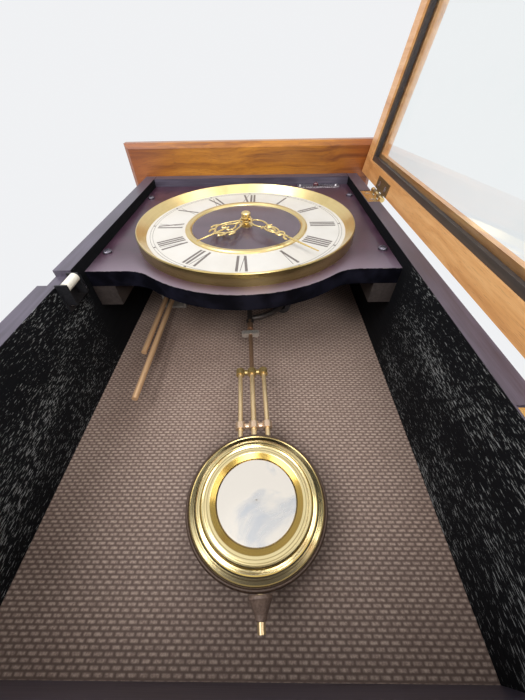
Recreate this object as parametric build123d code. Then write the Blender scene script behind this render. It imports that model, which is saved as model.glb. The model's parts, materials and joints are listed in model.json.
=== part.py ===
"""A rectangular pendulum wall clock with a hinged glass door, a battery movement and a two-rod gong.

Millimetres. The front faces -Y, the wall is at +Y and +Z is up. Everything is drawn about the centre of
the dial's face and is moved last, so that the origin is the hole of the hanger plate.
"""

import os
from math import atan2, cos, degrees, pi, radians, sin

from build123d import *

# Frame: where the dial's centre lies from the hanger hole
DIAL_CENTRE = (0, -100, -131)
HANGER_Z = 131.0

# Case
SIDE_IN = 133.4
BOARD = 14.5
SIDE_OUT = SIDE_IN + BOARD
FRONT = -6.1
BACK = 101.0
INNER_TOP = 141.0
CASE_BOTTOM = -330.0
TOP_BOARD = 14.0
CASE_TOP = INNER_TOP + TOP_BOARD
PANEL = 4.0
PANEL_FRONT = 95.0
REBATE = 7.0
CROWN_HALF = 168.6
CROWN_FRONT = -43.6
CROWN_THICK = 18.0
CROWN_BEVEL = 5.6
CROWN_ROUND = 3.0
JOINT_GAP = 0.2

# Dial board
BOARD_FRONT = 3.2
BOARD_BACK = BOARD_FRONT + BOARD
BOARD_CORNER_Z = -82.9
BOARD_ARC = 118.8
BOARD_FLAT_X = 98.4
BOARD_FILLET = 34.0
BATTEN = 20.0
BOARD_SCREW_X = 126.5
BOARD_SCREW_Z = (93.9, -49.8)

# Dial
BEZEL_R = 108.0
BEZEL_FRONT = -8.2
DISC_R = 100.0
RING_IN = 55.8
RING_OUT = 62.5
RING_PROUD = 2.0
CENTRE_HOLE = 4.5

# Hands, set to 7:23
MINUTE_ANGLE = 139.0
HOUR_ANGLE = 221.6
MINUTE_Y = (-8.2, -7.6)
HOUR_Y = (-6.0, -5.4)
ARBOR_R = 1.5
PIPE_R = 2.6

# Door, drawn closed and then opened about the hinge pins
DOOR_OPEN = 99.0
PIN_X = 150.5
PIN_Y = -7.0
PIN_R = 1.1
DOOR_HALF = 148.0
DOOR_TOP = 152.0
DOOR_BOTTOM = -327.0
DOOR_BACK = -9.5
DOOR_THICK = 20.0
DOOR_FLAT = 17.5
DOOR_MEMBER = 26.5
GLASS = 2.5
GLASS_SEAT = DOOR_BACK - 10.0
BEAD = 5.0
HINGE_LENGTH = 38.0
HINGE_CENTRES = (63.0, -240.5)
LEAF = 1.0
LEAF_EDGE = 135.5
KNUCKLE_R = 2.5
MORTISE = 1.6

# Roller catch
CATCH_Z = -111.5
ROLLER_X = -127.5
ROLLER_Y = -4.5
ROLLER_R = 3.5
ROLLER_LENGTH = 15.0
CATCH_SCREW_Y = 10.0
CATCH_SCREW_Z = (-96.0, -115.7)
NOTCH_Z = (-118.0, -97.0)
NOTCH_DEPTH = 5.1

# Strike switch
SWITCH_X = (64.0, 121.0)
SWITCH_Z = (127.5, 139.5)
SLIDER_X = 89.0
SLIDER_TRAVEL = 8.0

# Movement
FRONT_PLATE_Y = (27.0, 28.5)
REAR_PLATE_Y = (50.0, 51.5)
PLATE_X = 45.0
PLATE_Z = (-46.0, 60.0)
POST_X = 39.0
POST_Z = (-32.0, 54.0)
TOOTH_HALF = 0.18
ADDENDUM = 0.75
DEDENDUM = 1.25
TRAIN_MODULE = 0.55
WHEEL_MODULE = 0.5
CENTRE_TEETH = 75
THIRD_TEETH = 80
PINION_TEETH = 10
RATCHET_TEETH = 64
RATCHET_R = 10.0
CANNON_MODULE = 0.6
CANNON_TEETH = 12
MOTION_TEETH = 36
HOUR_MODULE = 0.576
HOUR_TEETH = 40
THIRD_ANGLE = 210.0
RATCHET_ANGLE = -60.0

# Strike work
HAMMER_Y = 61.0
HAMMER_Z = 48.0
CAM_Z = 66.0
ROD_Y = 76.0
ROD_R = 2.6
ROD_TOP = 38.0
SHORT_ROD = (-99.0, -109.0)
LONG_ROD = (-90.8, -162.0)

# Pendulum, drawn plumb below its pivot and then tilted. Collars are (radius, height)
PIVOT_Y = 70.0
PIVOT_Z = -24.0
TILT = 3.46
EYE_S = 46.6
CROSS_S = 66.1
TOP_BRIDGE_S = 115.2
LOW_BRIDGE_S = 166.3
BOB_S = 217.4
BOB_R = 43.0
BOB_FACE_R = 41.0
MIRROR_R = 24.5
MAIN_ROD_R = 2.0
SLEEVE_R = 3.0
SIDE_ROD_R = 1.8
SIDE_ROD_X = 10.0
NUT_S = (260.7, 270.5)
TIP_S = 274.9
MAGNET_ARC = 42.0
ARM_R = 2.9
CROSS_HALF = 8.6
TOP_COLLAR = (3.6, 5.6)
LOW_COLLAR = (3.6, 5.2)
LINK_HALF = 1.4
BEAD_R = 2.4

SLIP = 0.05
ONE_TURN = 360


def block(xs, ys, zs):
    """A box between two values on each axis."""
    size = (xs[1] - xs[0], ys[1] - ys[0], zs[1] - zs[0])
    centre = (sum(xs) / 2, sum(ys) / 2, sum(zs) / 2)
    return Pos(*centre) * Box(*size)


def along_y(x, z, ys, radius):
    return Pos(x, sum(ys) / 2, z) * Rot(90, 0, 0) * Cylinder(radius, ys[1] - ys[0])


def along_x(y, z, xs, radius):
    return Pos(sum(xs) / 2, y, z) * Rot(0, 90, 0) * Cylinder(radius, xs[1] - xs[0])


def along_z(x, y, zs, radius):
    return Pos(x, y, sum(zs) / 2) * Cylinder(radius, zs[1] - zs[0])


def turned_y(points):
    """A profile of (radius, y) points turned about the Y axis."""
    return revolve(make_face(Polyline(*points, close=True)), axis=Axis.Y, revolution_arc=ONE_TURN)


def turned_z(points):
    """A profile of (radius, z) points turned about the Z axis."""
    face = make_face(Plane.XZ * Polyline(*points, close=True))
    return revolve(face, axis=Axis.Z, revolution_arc=ONE_TURN)


def sheet(face, ys):
    """A flat face drawn in (x, z), given thickness between two y values."""
    plane = Plane(origin=(0, ys[1], 0), x_dir=(1, 0, 0), z_dir=(0, -1, 0))
    return extrude(plane * face, amount=ys[1] - ys[0])


def aim(direction):
    """Where a screw's Z axis, from its point to its head, looks in the given direction."""
    return Plane(origin=(0, 0, 0), z_dir=direction)


def countersunk(length, head_r=3.0, shank_r=1.4, grow=0.0):
    """A countersunk screw with its head's face at z = 0. grow makes the hole for it."""
    cone = head_r - shank_r
    outline = [(0, 0), (head_r + grow, 0), (shank_r + grow, -cone), (shank_r + grow, -length - grow)]
    body = turned_z(outline + [(0, -length - grow)])
    if grow:
        return body
    return body - Pos(0, 0, -0.3) * Box(2 * head_r + 1, 0.8, 0.6)


def pan_head(length, head_r=4.0, head_h=2.6, shank_r=1.75, grow=0.0):
    """A pan-head screw seated on z = 0. grow makes the hole for its shank."""
    if grow:
        return Pos(0, 0, -(length + grow) / 2) * Cylinder(shank_r + grow, length + grow)
    dome = 0.6
    outline = [(0, head_h), (head_r - 1.4, head_h - 0.1), (head_r - dome, head_h - dome)]
    outline += [(head_r, head_h - 2 * dome), (head_r, 0), (shank_r, 0), (shank_r, -length), (0, -length)]
    slots = Box(2 * head_r - 2, 0.9, 1.6) + Box(0.9, 2 * head_r - 2, 1.6)
    return turned_z(outline) - Pos(0, 0, head_h) * slots


def place(shape, point, direction):
    return Pos(*point) * (aim(direction) * shape)


def gear(teeth, module, ys, phase, bore=0.0):
    """A wheel in the XZ plane with one tooth centred at the angle phase, in degrees from +X."""
    pitch_r = module * teeth / 2
    step = 2 * pi / teeth
    root_r = pitch_r - DEDENDUM * module
    tip_r = pitch_r + ADDENDUM * module
    outline = []
    for tooth in range(teeth):
        centre = radians(phase) + tooth * step
        flank = [(root_r, -TOOTH_HALF), (pitch_r, -TOOTH_HALF), (tip_r, -0.07)]
        flank += [(tip_r, 0.07), (pitch_r, TOOTH_HALF), (root_r, TOOTH_HALF)]
        outline += [(r * cos(centre + a * step), r * sin(centre + a * step)) for r, a in flank]
    wheel = sheet(make_face(Polyline(*outline, close=True)), ys)
    return wheel - along_y(0, 0, (ys[0] - 1, ys[1] + 1), bore) if bore else wheel


def polar(radius, angle):
    return radius * cos(radians(angle)), radius * sin(radians(angle))


def wire(points, radius):
    """Straight runs of round wire with a ball at each corner."""
    parts = []
    for start, end in zip(points, points[1:]):
        run = Vector(*end) - Vector(*start)
        parts.append(Plane(origin=start, z_dir=run) * Cylinder(
            radius, run.length, align=(Align.CENTER, Align.CENTER, Align.MIN)))
    for corner in points[1:-1]:
        parts.append(Pos(*corner) * Sphere(radius))
    whole = parts[0]
    for part in parts[1:]:
        whole = whole + part
    return whole


def open_door(shape):
    return shape.rotate(Axis((PIN_X, PIN_Y, 0), (0, 0, 1)), DOOR_OPEN)


def hang(shape):
    """Moves a pendulum piece, drawn plumb below the pivot at the origin, to its tilted place."""
    return Pos(0, PIVOT_Y, PIVOT_Z) * (Rot(0, -TILT, 0) * shape)


def set_hand(shape, angle):
    return shape.rotate(Axis.Y, angle)


nodes = {}


# ---------------------------------------------------------------- fasteners
def batch(maker, spots, direction, **sizes):
    """The same screw at each spot."""
    return [place(maker(**sizes), spot, direction) for spot in spots]


board_spots = [(s * BOARD_SCREW_X, BOARD_FRONT, z) for s in (-1, 1) for z in BOARD_SCREW_Z]
board_screws = batch(pan_head, board_spots, (0, -1, 0), length=30)
board_holes = batch(pan_head, board_spots, (0, -1, 0), length=30, grow=SLIP)

panel_spots = [(s * 137.0, BACK - 2, z) for s in (-1, 1) for z in (110, -20, -180, -310)]
panel_screws = batch(countersunk, panel_spots, (0, 1, 0), length=16)
panel_holes = batch(countersunk, panel_spots, (0, 1, 0), length=16, grow=SLIP)

hanger_spots = [(s * 20.0, BACK, INNER_TOP + 7) for s in (-1, 1)]
hanger_screws = batch(countersunk, hanger_spots, (0, 1, 0), length=16, head_r=2.8)
hanger_holes = batch(countersunk, hanger_spots, (0, 1, 0), length=16, head_r=2.8, grow=SLIP)

gong_spots = [(x, BACK - 2, z) for x in (-99.0, -87.0) for z in (-8.0, 33.0)]
gong_screws = batch(countersunk, gong_spots, (0, 1, 0), length=5.6)
gong_holes = batch(countersunk, gong_spots, (0, 1, 0), length=5.6, grow=SLIP)

hinge_case_spots = [(142.0, FRONT + MORTISE - LEAF, z + s * 10) for z in HINGE_CENTRES for s in (-1, 1)]
hinge_case_screws = batch(countersunk, hinge_case_spots, (0, -1, 0), length=18)
hinge_case_holes = batch(countersunk, hinge_case_spots, (0, -1, 0), length=18, grow=SLIP)

hinge_door_spots = [(142.0, DOOR_BACK + LEAF, z + s * 10) for z in HINGE_CENTRES for s in (-1, 1)]
hinge_door_screws = batch(countersunk, hinge_door_spots, (0, 1, 0), length=15)
hinge_door_holes = batch(countersunk, hinge_door_spots, (0, 1, 0), length=15, grow=SLIP)

catch_spots = [(-SIDE_IN + 1.5, CATCH_SCREW_Y, z) for z in CATCH_SCREW_Z]
catch_screws = batch(pan_head, catch_spots, (1, 0, 0), length=11, head_r=3.2, head_h=2.0, shank_r=1.5)
catch_holes = batch(pan_head, catch_spots, (1, 0, 0), length=11, shank_r=1.5, grow=SLIP)

strike_spots = [(-141.5, DOOR_BACK + LEAF, z) for z in (CATCH_Z - 3, CATCH_Z + 3)]
strike_screws = batch(countersunk, strike_spots, (0, 1, 0), length=10, head_r=2.2, shank_r=1.1)
strike_holes = batch(countersunk, strike_spots, (0, 1, 0), length=10, head_r=2.2, shank_r=1.1, grow=SLIP)


def cut(shape, holes):
    for hole in holes:
        shape = shape - hole
    return shape


# ---------------------------------------------------------------- case
def side(sign):
    outer = sign * SIDE_OUT
    inner = sign * SIDE_IN
    board = block(sorted((inner, outer)), (FRONT, BACK), (CASE_BOTTOM, CASE_TOP))
    rebate = block(sorted((inner - sign, inner + sign * REBATE)), (PANEL_FRONT, BACK + 1),
                   (CASE_BOTTOM - 1, INNER_TOP + REBATE - 2))
    return board - rebate


left = side(-1) - block((-SIDE_OUT - 1, -SIDE_IN + 1), (FRONT - 1, FRONT + NOTCH_DEPTH), NOTCH_Z)
nodes["side_left"] = cut(left, panel_holes + catch_holes)

right = side(1)
for centre in HINGE_CENTRES:
    zs = (centre - HINGE_LENGTH / 2 - 1, centre + HINGE_LENGTH / 2 + 1)
    right = right - block((LEAF_EDGE - 0.6, SIDE_OUT + 1), (FRONT - 1, FRONT + MORTISE), zs)
nodes["side_right"] = cut(right, panel_holes + hinge_case_holes)

span = (-SIDE_IN + JOINT_GAP / 2, SIDE_IN - JOINT_GAP / 2)
top_panel = block(span, (FRONT, BACK - 2), (INNER_TOP, CASE_TOP)) - block(
    (-SIDE_IN, SIDE_IN), (PANEL_FRONT, BACK), (INNER_TOP - 1, INNER_TOP + REBATE - 2))
bottom_panel = block(span, (FRONT, PANEL_FRONT - JOINT_GAP), (CASE_BOTTOM, CASE_BOTTOM + TOP_BOARD))
nodes["top_and_bottom_panels"] = Compound([cut(top_panel, hanger_holes), bottom_panel])


def moulded_board(zs, bevel_low):
    """The crown, or the base, which is the crown upside down."""
    board = block((-CROWN_HALF, CROWN_HALF), (CROWN_FRONT, BACK), zs)
    bevel_z = zs[0] if bevel_low else zs[1]
    round_z = zs[1] if bevel_low else zs[0]
    edges = [e for e in board.edges() if abs(e.center().Z - bevel_z) < 0.01 and e.center().Y < BACK - 1]
    board = chamfer(edges, CROWN_BEVEL)
    edges = [e for e in board.edges() if abs(e.center().Z - round_z) < 0.01 and e.center().Y < BACK - 1]
    return fillet(edges, CROWN_ROUND)


nodes["crown_board"] = moulded_board((CASE_TOP, CASE_TOP + CROWN_THICK), True)
nodes["base_board"] = moulded_board((CASE_BOTTOM - CROWN_THICK, CASE_BOTTOM), False)

back = block((-SIDE_IN - REBATE + 0.5, SIDE_IN + REBATE - 0.5), (PANEL_FRONT, PANEL_FRONT + PANEL),
             (CASE_BOTTOM + 0.3, INNER_TOP + REBATE - 2.5))
back = back - along_y(0, HANGER_Z, (PANEL_FRONT - 1, BACK), 9.0)
nodes["back_panel"] = cut(back, panel_holes + gong_holes)

hanger = block((-30, 30), (BACK - 2, BACK), (119.0, CASE_TOP - 2))
hanger = hanger - along_y(0, HANGER_Z, (BACK - 3, BACK + 1), 4.0)
nodes["hanger_plate"] = cut(hanger, hanger_holes)
nodes["wood_screws"] = Compound(panel_screws + hanger_screws + gong_screws)

battens = []
for sign in (-1, 1):
    batten = block(sorted((sign * (SIDE_IN - JOINT_GAP), sign * (SIDE_IN - BATTEN))),
                   (BOARD_BACK, BOARD_BACK + BATTEN), (BOARD_CORNER_Z, INNER_TOP - JOINT_GAP))
    battens.append(cut(batten, board_holes))
nodes["battens"] = Compound(battens)


# ---------------------------------------------------------------- dial board
def dial_board():
    """A board whose lower edge is an arc about the dial, with a hollow fillet to each flat shoulder."""
    half = SIDE_IN - JOINT_GAP
    fillet_z = BOARD_CORNER_Z - BOARD_FILLET
    share = BOARD_ARC / (BOARD_ARC + BOARD_FILLET)
    touch = (BOARD_FLAT_X * share, fillet_z * share)
    reach = degrees(atan2(touch[1] - fillet_z, touch[0] - BOARD_FLAT_X))
    middle = (90 + reach) / 2
    mid = (BOARD_FLAT_X + BOARD_FILLET * cos(radians(middle)), fillet_z + BOARD_FILLET * sin(radians(middle)))
    line = Polyline((-half, INNER_TOP - JOINT_GAP), (half, INNER_TOP - JOINT_GAP), (half, BOARD_CORNER_Z),
                    (BOARD_FLAT_X, BOARD_CORNER_Z))
    line += ThreePointArc((BOARD_FLAT_X, BOARD_CORNER_Z), mid, touch)
    line += ThreePointArc(touch, (0, -BOARD_ARC), (-touch[0], touch[1]))
    line += ThreePointArc((-touch[0], touch[1]), (-mid[0], mid[1]), (-BOARD_FLAT_X, BOARD_CORNER_Z))
    line += Polyline((-BOARD_FLAT_X, BOARD_CORNER_Z), (-half, BOARD_CORNER_Z), (-half, INNER_TOP - JOINT_GAP))
    board = sheet(make_face(line), (BOARD_FRONT, BOARD_BACK))
    board = board - along_y(0, 0, (0, 30), CENTRE_HOLE)
    slot = block((SLIDER_X - 3.0, SLIDER_X + SLIDER_TRAVEL + 3.0), (0, 30), (131.5, 135.5))
    return cut(board - slot, board_holes + movement_holes)


movement_spots = [(s * POST_X, REAR_PLATE_Y[1], z) for s in (-1, 1) for z in POST_Z]
movement_screws = batch(pan_head, movement_spots, (0, 1, 0), length=42, head_r=3.0, head_h=2.0, shank_r=1.4)
movement_holes = batch(pan_head, movement_spots, (0, 1, 0), length=42, shank_r=1.4, grow=SLIP)
nodes["dial_board"] = dial_board()
nodes["board_screws"] = Compound(board_screws)
nodes["case_screws"] = Compound(hinge_case_screws + catch_screws)

# ---------------------------------------------------------------- dial
bezel_wall = 0.8
nodes["bezel"] = turned_y([
    (BEZEL_R, BOARD_FRONT), (BEZEL_R, BEZEL_FRONT + 0.8), (BEZEL_R - 0.5, BEZEL_FRONT + 0.1),
    (BEZEL_R - 1.3, BEZEL_FRONT), (DISC_R, 0), (DISC_R + 1.1, 0), (BEZEL_R - 1.2, BEZEL_FRONT + 1.3),
    (BEZEL_R - bezel_wall, BEZEL_FRONT + 1.5), (BEZEL_R - bezel_wall, BOARD_FRONT)])
nodes["dial_plate"] = turned_y([
    (CENTRE_HOLE, BOARD_FRONT), (BEZEL_R - 1.5, BOARD_FRONT), (BEZEL_R - 1.5, 1.0), (DISC_R + 3, 0),
    (RING_IN, 0), (RING_IN - 0.2, 1.0), (CENTRE_HOLE, 1.0)])
nodes["centre_disc"] = turned_y([
    (CENTRE_HOLE, 0.98), (RING_IN - 0.4, 0.98), (RING_IN - 0.4, 0.0), (CENTRE_HOLE, 0.0)])
ring_mid = (RING_IN + RING_OUT) / 2
inner_ring = turned_y([
    (RING_IN, -0.02), (RING_IN + 0.4, -0.9), (ring_mid - 1.6, -RING_PROUD), (ring_mid + 1.6, -RING_PROUD),
    (RING_OUT - 0.4, -0.9), (RING_OUT, -0.02)])
collet = turned_y([
    (3.2, -1.0), (5.6, -1.4), (7.3, -0.7), (7.3, -0.02), (CENTRE_HOLE - 0.1, -0.02), (CENTRE_HOLE - 0.1, 4.0),
    (3.2, 4.0)])
nodes["dial_rings"] = Compound([inner_ring, collet])

switch_mid = sum(SWITCH_Z) / 2
plate_face = Pos(sum(SWITCH_X) / 2, switch_mid) * RectangleRounded(
    SWITCH_X[1] - SWITCH_X[0], SWITCH_Z[1] - SWITCH_Z[0], 2.0)
slot_mid = SLIDER_X + SLIDER_TRAVEL / 2
plate_face = plate_face - Pos(slot_mid, switch_mid) * Rectangle(SLIDER_TRAVEL + 6.0, 3.4)
switch_plate = sheet(plate_face, (BOARD_FRONT - 1.0, BOARD_FRONT))
for rivet_x in (SWITCH_X[0] + 3.5, SWITCH_X[1] - 5.0):
    switch_plate = switch_plate + Pos(rivet_x, BOARD_FRONT - 1.0, switch_mid) * (
        Sphere(1.5) & block((-2, 2), (-2, 0.5), (-2, 2)))
nodes["switch_plate"] = switch_plate

slider_zs = (switch_mid - 4, switch_mid + 4)
slider = block((SLIDER_X - 2.5, SLIDER_X + 2.5), (BOARD_FRONT - 1.6, BOARD_BACK + 3),
               (switch_mid - 1.5, switch_mid + 1.5))
slider = slider + block((SLIDER_X - 6, SLIDER_X + 6), (BOARD_BACK + 0.4, BOARD_BACK + 3), slider_zs)
knob = Pos(SLIDER_X, BOARD_FRONT - 1.4, switch_mid) * scale(Sphere(3.6), (1.0, 1.0, 0.68))
knob = knob & block((SLIDER_X - 5, SLIDER_X + 5), (BOARD_FRONT - 6, BOARD_FRONT - 1.4), slider_zs)
nodes["strike_slider"] = slider + knob


# ---------------------------------------------------------------- hands
def ring_face(radius_x, radius_z, centre_z, width):
    outer = Ellipse(radius_x, radius_z)
    return Pos(0, centre_z) * (outer - Ellipse(radius_x - width, radius_z - width))


def taper(low, high, low_half, high_half):
    corners = ((-low_half, low), (low_half, low), (high_half, high), (-high_half, high))
    return make_face(Polyline(*corners, close=True))


def minute_hand():
    face = Circle(6.4) + ring_face(6.4, 8.0, 13.6, 1.8) + ring_face(4.6, 9.0, 29.8, 1.7)
    face = face + ring_face(6.0, 7.5, 45.2, 1.9) + taper(52.0, 66.0, 1.7, 2.6) + taper(65.8, 97.0, 2.6, 0.35)
    return sheet(face - Circle(ARBOR_R), MINUTE_Y)


def hour_hand():
    face = Circle(7.0) + ring_face(5.2, 6.0, 12.2, 1.8) + ring_face(10.0, 10.5, 27.4, 2.4)
    face = face + ring_face(5.0, 9.0, 27.4, 1.6) + taper(37.0, 44.0, 3.4, 2.2) + taper(43.8, 64.0, 2.2, 0.35)
    return sheet(face - Circle(PIPE_R), HOUR_Y)


nodes["minute_hand"] = set_hand(minute_hand(), MINUTE_ANGLE)
nodes["hour_hand"] = set_hand(hour_hand(), HOUR_ANGLE)
nodes["hand_knob"] = turned_y([
    (ARBOR_R + 0.02, -8.3), (3.4, -8.3), (3.4, -9.0), (4.6, -9.4), (4.6, -11.6), (4.0, -12.6), (2.6, -13.2),
    (ARBOR_R + 0.02, -13.3)])

# ---------------------------------------------------------------- movement
third_centre = polar((CENTRE_TEETH + PINION_TEETH) / 2 * TRAIN_MODULE, THIRD_ANGLE)
ratchet_step = polar((THIRD_TEETH + PINION_TEETH) / 2 * WHEEL_MODULE, RATCHET_ANGLE)
ratchet_centre = (third_centre[0] + ratchet_step[0], third_centre[1] + ratchet_step[1])
motion_distance = (CANNON_TEETH + MOTION_TEETH) / 2 * CANNON_MODULE
half_pinion = 180 / PINION_TEETH

centre_arbor = along_y(0, 0, (-13.2, 62), ARBOR_R)
centre_arbor = centre_arbor + gear(CANNON_TEETH, CANNON_MODULE, (22.4, 25.4), 90)
centre_arbor = centre_arbor + gear(CENTRE_TEETH, TRAIN_MODULE, (32, 33.2), THIRD_ANGLE)
centre_arbor = centre_arbor + turned_y([(0, 59), (7.4, 59), (8, 59.6), (8, 64.4), (7.4, 65), (0, 65)])
nodes["centre_arbor"] = centre_arbor

pipe_bore = ARBOR_R + 0.06
hour_wheel = gear(HOUR_TEETH, HOUR_MODULE, (19.6, 20.8), 90 + 180 / HOUR_TEETH)
hour_wheel = hour_wheel + along_y(0, 0, (-6.4, 20.8), PIPE_R - 0.02)
nodes["hour_wheel"] = hour_wheel - along_y(0, 0, (-8, 22), pipe_bore)

motion_wheel = gear(MOTION_TEETH, CANNON_MODULE, (22.8, 24.0), -90 + 180 / MOTION_TEETH)
motion_wheel = motion_wheel + gear(PINION_TEETH, HOUR_MODULE, (19.0, 22.8), -90)
motion_wheel = motion_wheel - along_y(0, 0, (15, 30), 1.26)
nodes["motion_wheel"] = Pos(0, 0, motion_distance) * motion_wheel

third_wheel = gear(THIRD_TEETH, WHEEL_MODULE, (38, 38.8), RATCHET_ANGLE)
third_wheel = third_wheel + gear(PINION_TEETH, TRAIN_MODULE, (30.5, 35), THIRD_ANGLE + 180 + half_pinion)
third_wheel = third_wheel + along_y(0, 0, (27.2, 51.3), 1.0)
nodes["third_wheel"] = Pos(third_centre[0], 0, third_centre[1]) * third_wheel


def ratchet():
    """Saw teeth, and the pinion that the third wheel meshes with."""
    root_r = RATCHET_R - 0.7
    outline = []
    for tooth in range(RATCHET_TEETH):
        start = ONE_TURN * tooth / RATCHET_TEETH
        outline += [polar(RATCHET_R, start), polar(root_r, start + 0.4)]
    wheel = sheet(make_face(Polyline(*outline, close=True)), (55.2, 56.0))
    wheel = wheel + along_y(0, 0, (27.2, 57.2), 1.0)
    return wheel + gear(PINION_TEETH, WHEEL_MODULE, (36.5, 41), RATCHET_ANGLE + 180 + half_pinion)


nodes["ratchet_wheel"] = Pos(ratchet_centre[0], 0, ratchet_centre[1]) * ratchet()


def plate(ys, arbors):
    body = block((-PLATE_X, PLATE_X), ys, PLATE_Z)
    for (x, z), radius in arbors:
        body = body - along_y(x, z, (ys[0] - 1, ys[1] + 1), radius + SLIP)
    return cut(body, movement_holes)


arbors = [((0, 0), ARBOR_R), (third_centre, 1.0), (ratchet_centre, 1.0)]
front_plate = plate(FRONT_PLATE_Y, arbors)
nodes["front_plate"] = front_plate + along_y(0, motion_distance, (18.6, FRONT_PLATE_Y[0]), 1.2)
nodes["rear_plate"] = plate(REAR_PLATE_Y, arbors)

posts = []
for x, _, z in movement_spots:
    for ys in ((BOARD_BACK, FRONT_PLATE_Y[0]), (FRONT_PLATE_Y[1], REAR_PLATE_Y[0])):
        posts.append(along_y(x, z, ys, 3.5) - along_y(x, z, (0, 60), 1.4 + SLIP))
nodes["movement_pillars"] = Compound(posts)
nodes["movement_screws"] = Compound(movement_screws)

bracket = block((-30, 30), (72.9, 74.4), (-30, -12)) + block((-30, 30), (64.0, 65.5), (-30, -12))
for sign in (-1, 1):
    bracket = bracket + block(sorted((sign * 28, sign * 30)), (REAR_PLATE_Y[1], 74.4), (-30, -12))
nodes["suspension_bracket"] = bracket + along_y(0, PIVOT_Z, (64.0, 74.4), 1.5)

coil_angle = -22.0
coil_x, coil_z = polar(MAGNET_ARC, coil_angle)
coil = Cylinder(9, 14) - Cylinder(7.5, 11) + Cylinder(8.6, 11) - Cylinder(4.6, 20)
coil = Pos(coil_x, PIVOT_Y, PIVOT_Z + coil_z) * (Rot(0, -coil_angle, 0) * coil)
post = along_y(coil_x, PIVOT_Z + coil_z, (REAR_PLATE_Y[1], PIVOT_Y - 8.4), 3.0)
nodes["impulse_coil"] = coil + post

holder = block((-37, 37), (BOARD_BACK, 57.7), (78, 122))
holder = holder - block((-33.5, 33.5), (BOARD_BACK + 3, 60), (81.5, 118.5))
nodes["battery_holder"] = holder
battery = along_x(40, 100, (-30.4, 29.6), 16.5) + along_x(40, 100, (29.6, 31.2), 4.5)
nodes["battery"] = battery

# ---------------------------------------------------------------- strike work
strike_bracket = block((-66, -12), (REAR_PLATE_Y[1], REAR_PLATE_Y[1] + 1.5), (40, 78))
strike_bracket = strike_bracket - along_y(-POST_X, POST_Z[1], (REAR_PLATE_Y[1] - 1, REAR_PLATE_Y[1] + 2), 3.4)
for x in (-66.0, -44.5):
    cheek = block((x, x + 1.5), (REAR_PLATE_Y[1], HAMMER_Y + 5), (42, 72))
    strike_bracket = strike_bracket + (cheek - along_x(HAMMER_Y, CAM_Z, (-70, -40), 1.5 + SLIP))
nodes["strike_bracket"] = strike_bracket + along_x(HAMMER_Y, HAMMER_Z, (-66, -43), 1.5)
motor = along_x(HAMMER_Y + 1.2, CAM_Z, (-36, -14), 9.0) + along_x(HAMMER_Y + 1.2, CAM_Z, (-14, -12), 3.0)
nodes["strike_motor"] = motor - along_x(HAMMER_Y, CAM_Z, (-60, -30), 1.6)
camshaft = along_x(HAMMER_Y, CAM_Z, (-67, -31), 1.5)
camshaft = camshaft + along_x(HAMMER_Y, CAM_Z, (-42, -39), 5.0)
camshaft = camshaft + along_z(-58.5, HAMMER_Y, (CAM_Z, CAM_Z + 8), 1.0)
nodes["strike_camshaft"] = camshaft + along_z(-49.5, HAMMER_Y, (CAM_Z - 7, CAM_Z), 1.0)


def hammer(hub_x, head_x, head_z):
    """A hub on the hammer arbor, its tail, and a wire to a brass head beside a gong rod."""
    wire_y = HAMMER_Y + 7
    body = along_x(HAMMER_Y, HAMMER_Z, (hub_x - 2.4, hub_x + 2.4), 3.6)
    body = body + block((hub_x - 1.2, hub_x + 1.2), (HAMMER_Y - 1, HAMMER_Y + 1), (HAMMER_Z, HAMMER_Z + 9.4))
    bends = [(hub_x, HAMMER_Y + 1, HAMMER_Z - 2.6), (hub_x, wire_y, head_z), (head_x, wire_y, head_z)]
    head = along_y(head_x, head_z, (ROD_Y - ROD_R - 8.2, ROD_Y - ROD_R - 0.7), 4.0)
    body = body + wire(bends, 0.9) + head
    return body - along_x(HAMMER_Y, HAMMER_Z, (hub_x - 4, hub_x + 4), 1.5 + SLIP)


nodes["hammer_high"] = hammer(-58.5, SHORT_ROD[0], 14.0)
nodes["hammer_low"] = hammer(-49.5, LONG_ROD[0], 5.0)

# ---------------------------------------------------------------- gong
gong = block((-106, -80), (73, PANEL_FRONT), (-15, 44)) - block((-103.5, -82.5), (72, 92), (-16, 41))
gong = gong + block((-104, -82), (72, 93), (25, 40))
for x, _ in (SHORT_ROD, LONG_ROD):
    gong = gong - along_z(x, ROD_Y, (20, ROD_TOP + SLIP), ROD_R + SLIP)
nodes["gong_block"] = cut(gong, gong_holes)
nodes["gong_rod_short"] = along_z(SHORT_ROD[0], ROD_Y, (SHORT_ROD[1], ROD_TOP), ROD_R)
nodes["gong_rod_long"] = along_z(LONG_ROD[0], ROD_Y, (LONG_ROD[1], ROD_TOP), ROD_R)

# ---------------------------------------------------------------- roller catch
wall = -SIDE_IN
catch = block((wall, wall + 1.5), (1.0, 16.0), (-121.5, -91))
roller_low = CATCH_Z - ROLLER_LENGTH / 2
roller_high = CATCH_Z + ROLLER_LENGTH / 2
for zs in ((roller_low - 1.6, roller_low - 0.4), (roller_high + 0.4, roller_high + 1.6)):
    catch = catch + block((wall, ROLLER_X + 3), (ROLLER_Y - 3, 10), zs)
catch = catch + along_z(ROLLER_X, ROLLER_Y, (roller_low - 1.6, roller_high + 1.6), 1.0)
nodes["catch_bracket"] = cut(catch, catch_holes)
nodes["catch_roller"] = along_z(ROLLER_X, ROLLER_Y, (roller_low, roller_high), ROLLER_R) - along_z(
    ROLLER_X, ROLLER_Y, (roller_low - 1, roller_high + 1), 1.0 + SLIP)

# ---------------------------------------------------------------- door
door_front = DOOR_BACK - DOOR_THICK
door_zs = (DOOR_BOTTOM, DOOR_TOP)


def inset(distance, ys):
    """The box that is a given distance inside the door's outline."""
    half = DOOR_HALF - distance
    return block((-half, half), ys, (DOOR_BOTTOM + distance, DOOR_TOP - distance))


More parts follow.
